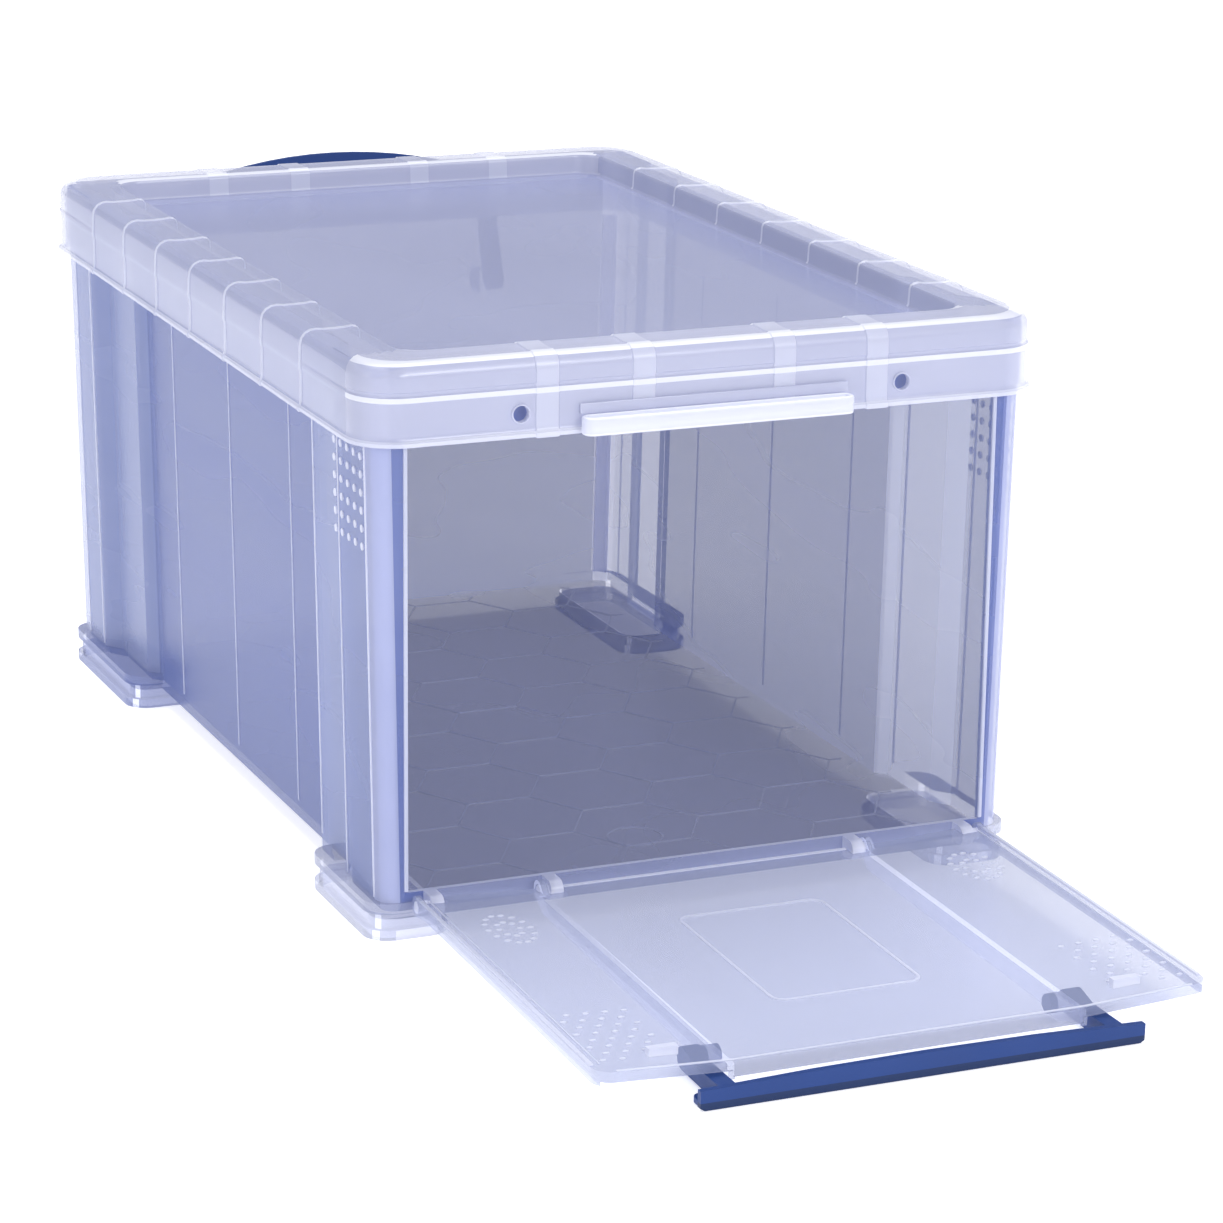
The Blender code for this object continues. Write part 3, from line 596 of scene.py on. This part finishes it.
# the tub's materials by region, later ones over earlier ones: distance from the middle plane, y and z, in mm
TUB_REGIONS = [
    # the tub floor: darker plastic, partly painted shade
    (FLOOR, below(111), ANY, below(10)),
    # rear posts and steps: lighter plastic, partly thicker corners and partly painted light that lifts the
    # shade on the steps' slopes
    (POST, above(105), above(102), ANY),
    (POST, above(105), below(-102), ANY),
    (DOOR_POST, above(113), between(-182.5, -148.5), ANY),
    # the corner roundings: paler plastic, partly thicker plastic and partly a painted highlight down each
    # corner
    (STRIP, above(113.5), above(176.9), ANY),
    (STRIP, above(113.5), below(-176.9), ANY),
    (SHELL, above(90), above(99), below(13.4)),               # rear feet, darker than the front feet: painted shade
    (FOOT, above(90), below(-117), below(13.4)),              # front feet
    (FOOT, below(113.5), below(-181.5), below(20)),           # sill
    # hinge ears in the lighter edge plastic: painted light that lifts their shade
    (EDGE, below(108.2), below(-184.2), below(20)),           # hinge ears
]
FOOT_HOLLOWS = [
    (between(94.7, 119.8), between(-181.8, -120.7), below(7)),
    (between(94.7, 119.8), between(102.7, 181.8), below(7)),
]

POST_CORNERS = [(-1, -1, "front_left"), (1, -1, "front_right"), (-1, 1, "back_left"), (1, 1, "back_right")]
CORE_RADII = (4.85 * MM, 3.6 * MM)           # quarter-round core inside each corner post
CORE_CENTRE_IN = 7.0 * MM
CORE_CENTRE_Y = 177.0 * MM
CORE_STEPS = 9
CORE_SMOOTH_ANGLE = 50.0
UPRIGHT_Z = (14.0 * MM, 172.0 * MM)          # where the cores and the ribs start and end
# thin upright ribs on the outside of each long side: half width there at the top, y, width
WALL_RIBS = [(122.0, 170.0, 0.6), (122.0, 150.0, 0.8), (112.5, 70.0, 0.5), (112.5, 0.0, 0.5),
             (112.5, -70.0, 0.5), (116.5, -108.0, 0.9), (122.0, -150.0, 0.8), (122.0, -177.0, 0.8)]
RIB_PROUD = 0.3 * MM
RIB_SUNK = 0.2 * MM

DOT_COLUMNS, DOT_ROWS = 5, 6                 # block of round dots on each front post
DOT_START = (-173.5, 137.0)
DOT_PITCH = (6.6, 6.2)
DOT_RADIUS = 1.35 * MM
DOT_DEPTH = 0.6 * MM
DOT_OUT = 0.1 * MM
DOT_STEPS = 16

DOORWAY_X = (109.0 * MM, 110.4 * MM)         # bead down each side of the doorway
DOORWAY_Y = (-184.7 * MM, -183.6 * MM)
DOORWAY_Z = (17.0 * MM, 174.0 * MM)
DOORWAY_ROUNDING = 0.3 * MM

HEX_SIDE = 24.5 * MM
HEX_HALF_X = 103.0 * MM
HEX_HALF_Y = 176.0 * MM
HEX_COLUMNS = range(-5, 6)
HEX_ROWS = range(-6, 7)
HEX_WELD = 1e-5
HEX_LINE = 0.45 * MM
HEX_PROUD = 0.35 * MM
FLOOR_TOP = 9.5 * MM
MOULD_RING_CENTRE = (-6.0 * MM, -140.0 * MM)
# section of the ring on the floor: radius, height
MOULD_RING = [(9.5, 9.5), (9.5, 9.95), (10.4, 9.95), (10.4, 9.5)]
MOULD_RING_STEPS = 48


def wall_x(half, z):
    """Outer face of a long side at a height, from its half width at the top."""
    depth = (TUB_TOP - z) / (TUB_TOP - TUB_UNDERSIDE)
    return half * (1.0 - depth * WALL_TAPER / POST_HALF)


def within(centre, x_range, y_range, z_range):
    values = (abs(centre.x), centre.y, centre.z)
    return all(low < value < high for value, (low, high) in zip(values, (x_range, y_range, z_range)))


def make_tub_shell():
    materials = (SHELL, POST, FOOT, FLOOR, STRIP, EDGE, DOOR_POST, UNDERSIDE_GLOW)
    tub = softened("tub", "tub_shell", TUB_ROUNDING, 2, materials)
    for material, *ranges in TUB_REGIONS:
        paint(tub.data, material, lambda c: within(c, *ranges))
    # the upright walls of the foot hollows get the glowing plastic: painted light that lifts their shade
    # under the floor
    to_body = BODY.inverted()
    for face in tub.data.polygons:
        hollow = any(within(to_body @ face.center, *ranges) for ranges in FOOT_HOLLOWS)
        if hollow and abs(face.normal.z) < STEEP:
            face.material_index = materials.index(UNDERSIDE_GLOW)


def make_post_cores():
    """The thicker quarter-round core inside each corner post."""
    outer, inner = (arc(radius, 0.0, CORE_STEPS) for radius in CORE_RADII)
    section = outer + inner[::-1]
    for sx, sy, word in POST_CORNERS:
        shape = bmesh.new()
        loft(shape, [[(sx * (wall_x(POST_HALF, z) - CORE_CENTRE_IN + x), sy * (CORE_CENTRE_Y + y), z)
                      for x, y in section] for z in UPRIGHT_Z])
        smooth_piece("post_core_" + word, shape, "tub", (STRIP,), BODY, CORE_SMOOTH_ANGLE)


def make_wall_ribs():
    for side, word in SIDES:
        shape = bmesh.new()
        for half, y, width in WALL_RIBS:
            rings = []
            y0, y1 = y * MM - width * MM / 2, y * MM + width * MM / 2
            for z in UPRIGHT_Z:
                x = wall_x(half * MM, z)
                back, face = side * (x - RIB_SUNK), side * (x + RIB_PROUD)
                rings.append([(back, y0, z), (face, y0, z), (face, y1, z), (back, y1, z)])
            loft(shape, rings)
        name = "wall_ribs_" + word
        new_piece(name, mesh_of(shape, name), "tub", (EDGE,), place=BODY)


def make_vent_dots():
    for side, word in SIDES:
        shape = bmesh.new()
        for column in range(DOT_COLUMNS):
            for row in range(DOT_ROWS):
                y, z = ((start + pitch * count) * MM
                        for start, pitch, count in zip(DOT_START, DOT_PITCH, (column, row)))
                x = side * (wall_x(POST_HALF, z) + DOT_OUT)
                place = Matrix.Translation((x, y, z)) @ Matrix.Rotation(math.pi / 2, 4, "Y")
                disc(shape, DOT_RADIUS, DOT_DEPTH, DOT_STEPS, place)
        smooth_piece("vent_dots_" + word, shape, "tub", (EDGE,), BODY)


def make_doorway_bead():
    """Raised bead down both sides of the front doorway."""
    shape = bmesh.new()
    for side, _ in SIDES:
        x0, x1 = sorted(side * x for x in DOORWAY_X)
        box_shape(shape, (x0, DOORWAY_Y[0], DOORWAY_Z[0]), (x1, DOORWAY_Y[1], DOORWAY_Z[1]))
    bevel_sharp(shape, DOORWAY_ROUNDING)
    smooth_piece("doorway_bead", shape, "tub", (EDGE,), BODY)


def make_floor_hexagons():
    """Thin raised hexagons over the floor."""
    shape = bmesh.new()
    step_x, step_y = 1.5 * HEX_SIDE, math.sqrt(3.0) * HEX_SIDE
    for column in HEX_COLUMNS:
        for row in HEX_ROWS:
            cx = column * step_x
            cy = row * step_y + (0.5 * step_y if column % 2 else 0.0)
            shape.faces.new([shape.verts.new((cx + x, cy + y, FLOOR_TOP)) for x, y in circle(HEX_SIDE, 6)])
    bmesh.ops.remove_doubles(shape, verts=shape.verts, dist=HEX_WELD)
    inner = bmesh.ops.inset_individual(shape, faces=shape.faces[:], thickness=HEX_LINE)
    strips = set(inner["faces"])
    bmesh.ops.delete(shape, geom=[f for f in shape.faces if f not in strips], context="FACES")
    for axis, distance in ((Vector((1, 0, 0)), HEX_HALF_X), (Vector((0, 1, 0)), HEX_HALF_Y)):
        for direction in (axis, -axis):
            bmesh.ops.bisect_plane(shape, geom=whole(shape), plane_co=direction * distance,
                                   plane_no=direction, clear_outer=True)
    raised = bmesh.ops.extrude_face_region(shape, geom=shape.faces[:])
    moved = [v for v in raised["geom"] if isinstance(v, bmesh.types.BMVert)]
    bmesh.ops.translate(shape, verts=moved, vec=(0.0, 0.0, HEX_PROUD))
    settle_order(shape)
    new_piece("floor_hexagons", mesh_of(shape, "floor_hexagons"), "tub", (FOOT,), place=BODY)


def make_floor_ring():
    """A moulding ring on the floor near the doorway."""
    cx, cy = MOULD_RING_CENTRE
    shape = bmesh.new()
    loft_loop(shape, [[(cx + x, cy + y, z * MM) for x, y in circle(radius * MM, MOULD_RING_STEPS)]
                      for radius, z in MOULD_RING])
    new_piece("floor_ring", mesh_of(shape, "floor_ring"), "tub", (FOOT,), place=BODY)


# ---------------------------------------------------------------- flap and handles
MIDDLE_TOP = 0.4                             # the flap's inner face: height of its flat middle, in mm,
MIDDLE_HALF = 62.2                           # where that ends,
WING_RISE = 2.4                              # and how much each wing climbs over its width
WING_WIDTH = 45.8
FLAP_ROUNDING = 0.35 * MM
CORNER = (108.0 * MM, -159.4 * MM)           # free corner before it is rounded
CORNER_RADIUS = 6.0 * MM
CORNER_CUT_STEPS = 8
CORNER_CUT_Z = (-8.0 * MM, 5.0 * MM)
HANGING_BELOW = -1.5 * MM                    # what lies below this hangs from the flap
LIP_Y = -157.0 * MM
CATCH_ABOVE = 1.9 * MM
CATCH_X = (76.0 * MM, 88.0 * MM)

FRAME_CENTRE = (-3.0 * MM, -81.0 * MM)
FRAME_HALF = (27.0 * MM, 40.0 * MM)
FRAME_RADIUS = 5.0 * MM
FRAME_WIDTH = 1.1 * MM
FRAME_Z = (0.35 * MM, 0.75 * MM)

# beads of each side edge, as the two corners of a bar
SIDE_BEADS = [
    ((106.5 * MM, -153.0 * MM, 2.4 * MM), (107.9 * MM, 0.5 * MM, 3.3 * MM)),
    ((104.1 * MM, -152.0 * MM, 2.3 * MM), (104.6 * MM, -3.0 * MM, 2.95 * MM)),
]
HINGE_BEAD = ((-54.0 * MM, -0.9 * MM, 0.3 * MM), (54.0 * MM, 0.8 * MM, 0.8 * MM))
# section of the bead along the free edge: y, and height over the inner face
FREE_BEAD = [(-159.2 * MM, -0.2 * MM), (-159.2 * MM, 0.35 * MM), (-158.2 * MM, 0.35 * MM),
             (-158.2 * MM, -0.2 * MM)]
FREE_BEAD_X = [-101.5 * MM, -62.2 * MM, 62.2 * MM, 101.5 * MM]
BEAD_ROUNDING = 0.2 * MM

# two clusters of pips on each wing, in mm from the middle line and out from the hinge
PIP_ROWS, PIP_COLUMNS = 8, 4
PIP_START = (79.0, 112.0)
PIP_PITCH = (6.6, 5.4)
PIP_STAGGER = 3.3
PIP_RINGS = ((5.0, 8), (10.0, 14))           # radius, number of pips
PIP_RINGS_CENTRE = (87.5, 34.5)
PIP_RINGS_SQUASH = (0.75, 1.3)
PIP_GAP_CENTRE = (82.0, 149.0)               # the catch stands here, so pips keep clear
PIP_GAP_HALF = (7.0, 3.5)
PIP_SIZE = 1.25
PIP_SIZE_SPREAD = 0.1
PIP_DEPTH_SHARE = 0.62
PIP_HEIGHT = 0.45 * MM
PIP_OUT = 0.05 * MM
PIP_SEED = 7
PIP_SMOOTH_ANGLE = 60.0

GRIP_ROUNDING = 0.8 * MM
REAR_GRIP_ROUNDING = 0.7 * MM
HANDLE_ROUND_ANGLE = 35.0
GRIP_SHADE_BELOW_Z = -7.4 * MM                       # below this line the front grip gets a painted shade of deeper blue,
GRIP_SHADE_BEYOND_Y = -168.5 * MM                     # but only out beyond here


def flap_top(x):
    """Height of the flap's inner face over its own axis."""
    return (MIDDLE_TOP + WING_RISE * max(0.0, abs(x) / MM - MIDDLE_HALF) / WING_WIDTH) * MM


def make_flap_shell():
    """The flap: rounded free corners, catches with a painted highlight, and clearer plastic with a strong
    painted glow, which lifts the shade under the flap, for all that hangs below it.
    """
    flap = softened("front_flap", "flap_shell", FLAP_ROUNDING, 2, (FLAP_PLASTIC, UNDERSIDE_GLOW, EDGE))
    corner_x, corner_y = CORNER
    cx, cy = corner_x - CORNER_RADIUS, corner_y + CORNER_RADIUS
    outline = [(cx + x, cy - y) for x, y in arc(CORNER_RADIUS, 0.0, CORNER_CUT_STEPS)]
    outline += [(cx, corner_y - MM), (corner_x + MM, corner_y - MM), (corner_x + MM, cy)]
    shape = bmesh.new()
    for side, _ in SIDES:
        loft(shape, [[(side * x, y, z) for x, y in outline] for z in CORNER_CUT_Z])
    shape.transform(FLAP)
    cut_away(flap, shape)
    catch_low, catch_high = CATCH_X
    # painted light: what hangs below the flap gets the glowing plastic, which lifts its shade
    paint(flap.data, UNDERSIDE_GLOW, lambda c: c.z < HANGING_BELOW and c.y > LIP_Y, FLAP)
    # painted highlight on the catches, in the lighter edge plastic
    paint(flap.data, EDGE, lambda c: c.z > CATCH_ABOVE and catch_low < abs(c.x) < catch_high, FLAP)
    face_weighted(flap)


def make_flap_frame():
    """A plain embossed rounded frame in the middle of the flap."""
    (cx, cy), (half_x, half_y), (base, top) = FRAME_CENTRE, FRAME_HALF, FRAME_Z
    rings = []
    for i, z in ((0.0, base), (0.0, top), (FRAME_WIDTH, top), (FRAME_WIDTH, base)):
        rings.append(plan_ring((cx - half_x + i, cy - half_y + i), (cx + half_x - i, cy + half_y - i),
                               FRAME_RADIUS - i, z))
    shape = bmesh.new()
    loft_loop(shape, rings)
    new_piece("flap_frame", mesh_of(shape, "flap_frame"), "flap", (EDGE,), place=FLAP)


def make_flap_beads():
    """Raised beads along the flap's side, free and hinge edges."""
    shape = bmesh.new()
    for side, _ in SIDES:
        for (x_in, y0, z0), (x_out, y1, z1) in SIDE_BEADS:
            x0, x1 = sorted((side * x_in, side * x_out))
            box_shape(shape, (x0, y0, z0), (x1, y1, z1))
    loft(shape, [[(x, y, flap_top(x) + rise) for y, rise in FREE_BEAD] for x in FREE_BEAD_X])
    box_shape(shape, *HINGE_BEAD)
    bevel_sharp(shape, BEAD_ROUNDING)
    smooth_piece("flap_beads", shape, "flap", (EDGE,), FLAP)


def pip_spots():
    """A staggered block of pips near the free edge, and two rings of them near the hinge."""
    (x0, t0), (pitch_x, pitch_t) = PIP_START, PIP_PITCH
    spots = [(x0 + pitch_x * column + (PIP_STAGGER if row % 2 else 0.0), t0 + pitch_t * row)
             for row in range(PIP_ROWS) for column in range(PIP_COLUMNS)]
    (cx, ct), (squash_x, squash_t) = PIP_RINGS_CENTRE, PIP_RINGS_SQUASH
    for radius, count in PIP_RINGS:
        spots += [(cx + squash_x * x, ct + squash_t * t) for x, t in circle(radius, count)]
    (gap_x, gap_t), (half_x, half_t) = PIP_GAP_CENTRE, PIP_GAP_HALF
    return [(x, t) for x, t in spots if abs(x - gap_x) >= half_x or abs(t - gap_t) >= half_t]


def make_flap_pips():
    """Two clusters of small moulded pips on each wing of the flap."""
    rng = random.Random(PIP_SEED)
    for side, word in SIDES:
        shape = bmesh.new()
        for x, t in pip_spots():
            size = (PIP_SIZE + PIP_SIZE_SPREAD * rng.random()) * MM
            place = (Matrix.Translation((side * x * MM, -t * MM, flap_top(x * MM) + PIP_OUT))
                     @ Matrix.Diagonal((size, PIP_DEPTH_SHARE * size, PIP_HEIGHT, 1.0)))
            bmesh.ops.create_icosphere(shape, subdivisions=2, radius=1.0, matrix=place)
        smooth_piece("flap_pips_" + word, shape, "flap", (EDGE,), FLAP, PIP_SMOOTH_ANGLE)


def make_front_grip():
    """The front handle, with painted shade in a deeper blue on the set-back lower part of its grip."""
    grip = softened("front_handle", "front_grip", GRIP_ROUNDING, 3, (BLUE, SHADED_BLUE),
                    HANDLE_ROUND_ANGLE)
    shape = bmesh.new()
    shape.from_mesh(grip.data)
    bmesh.ops.bisect_plane(shape, geom=whole(shape), plane_co=FLAP @ Vector((0.0, 0.0, GRIP_SHADE_BELOW_Z)),
                           plane_no=FLAP.to_3x3() @ Vector((0.0, 0.0, 1.0)))
    shape.to_mesh(grip.data)
    shape.free()
    # painted shade: the lower part of the grip, which turns under, in deeper blue
    paint(grip.data, SHADED_BLUE, lambda c: c.z < GRIP_SHADE_BELOW_Z and c.y < GRIP_SHADE_BEYOND_Y, FLAP)
    face_weighted(grip)


# ---------------------------------------------------------------- assembly
make_lid()
make_tray("front_tray", -1)
make_tray("rear_tray", 1)
make_hole_rims()
make_tub_shell()
make_post_cores()
make_wall_ribs()
make_vent_dots()
make_doorway_bead()
make_floor_hexagons()
make_floor_ring()
make_flap_shell()
make_flap_frame()
make_flap_beads()
make_flap_pips()
make_front_grip()
softened("rear_handle", "rear_grip", REAR_GRIP_ROUNDING, 3, (BLUE,), HANDLE_ROUND_ANGLE)


# ---------------------------------------------------------------- studio
FLOOR_HALF = 8.0
FLOOR_COLOUR = (0.90, 0.90, 0.92, 1.0)
FLOOR_ROUGHNESS = 0.9
FLOOR_GLOSS = 0.1
FLOOR_GLOW = 0.62
WHITE = (1.0, 1.0, 1.0, 1.0)
SKY_STRENGTH = 0.40
# each light's name, place, target, width and height, and power
SOFTBOXES = [
    ("overhead_softbox", (0.1, 0.5, 2.2), (0.0, 0.05, 0.1), (2.0, 1.2), 40.0),
    ("left_softbox", (-2.2, -0.3, 1.0), (0.0, 0.0, 0.1), (0.7, 1.2), 7.0),
    ("front_softbox", (0.5, -2.6, 1.2), (0.0, 0.0, 0.1), (1.4, 0.6), 36.0),
]
CAMERA_PLACE = (-0.5659, -1.4300 + BODY_Y, 0.4973)
CAMERA_YAW = 0.4028
CAMERA_PITCH = 0.2795
CAMERA_ROLL = 0.0117
CAMERA_LENS = 121.75
CAMERA_SENSOR = 36.0


def make_floor():
    shape = bmesh.new()
    bmesh.ops.create_grid(shape, x_segments=1, y_segments=1, size=FLOOR_HALF)
    floor = bpy.data.objects.new("studio_floor", mesh_of(shape, "studio_floor"))
    bpy.context.scene.collection.objects.link(floor)
    m = Nodes("studio_white")
    m.set("Base Color", FLOOR_COLOUR)
    m.set("Roughness", FLOOR_ROUGHNESS)
    m.set("Specular IOR Level", FLOOR_GLOSS)
    m.set("Emission Color", WHITE)
    m.set("Emission Strength", FLOOR_GLOW)
    floor.data.materials.append(m.material)


def make_world():
    """A white backdrop that lights the box less strongly than it looks."""
    world = bpy.data.worlds.new("studio")
    world.use_nodes = True
    tree = world.node_tree
    sky = tree.nodes["Background"]
    sky.inputs["Strength"].default_value = SKY_STRENGTH
    backdrop = tree.nodes.new("ShaderNodeBackground")
    for background in (sky, backdrop):
        background.inputs["Color"].default_value = WHITE
    path = tree.nodes.new("ShaderNodeLightPath")
    mix = tree.nodes.new("ShaderNodeMixShader")
    tree.links.new(path.outputs["Is Camera Ray"], mix.inputs["Fac"])
    tree.links.new(sky.outputs["Background"], mix.inputs[1])
    tree.links.new(backdrop.outputs["Background"], mix.inputs[2])
    tree.links.new(mix.outputs["Shader"], tree.nodes["World Output"].inputs["Surface"])
    bpy.context.scene.world = world


def make_softbox(name, location, target, size, power):
    light = bpy.data.lights.new(name, "AREA")
    light.shape = "RECTANGLE"
    light.size, light.size_y = size
    light.energy = power
    lamp = bpy.data.objects.new(name, light)
    lamp.location = location
    lamp.rotation_euler = (Vector(target) - Vector(location)).to_track_quat("-Z", "Y").to_euler()
    bpy.context.scene.collection.objects.link(lamp)


def make_camera():
    cos_pitch = math.cos(CAMERA_PITCH)
    forward = Vector((math.sin(CAMERA_YAW) * cos_pitch, math.cos(CAMERA_YAW) * cos_pitch,
                      -math.sin(CAMERA_PITCH)))
    right = Vector((math.cos(CAMERA_YAW), -math.sin(CAMERA_YAW), 0.0))
    up = right.cross(forward)
    turned_right = math.cos(CAMERA_ROLL) * right + math.sin(CAMERA_ROLL) * up
    turned_up = -math.sin(CAMERA_ROLL) * right + math.cos(CAMERA_ROLL) * up
    data = bpy.data.cameras.new("camera")
    data.lens = CAMERA_LENS
    data.sensor_width = CAMERA_SENSOR
    camera = bpy.data.objects.new("camera", data)
    axes = Matrix((turned_right, turned_up, -forward)).transposed().to_4x4()
    camera.matrix_world = Matrix.Translation(CAMERA_PLACE) @ axes
    bpy.context.scene.collection.objects.link(camera)
    bpy.context.scene.camera = camera


make_floor()
make_world()
for softbox in SOFTBOXES:
    make_softbox(*softbox)
make_camera()
bpy.context.scene.view_settings.view_transform = "Standard"

bpy.context.view_layer.update()
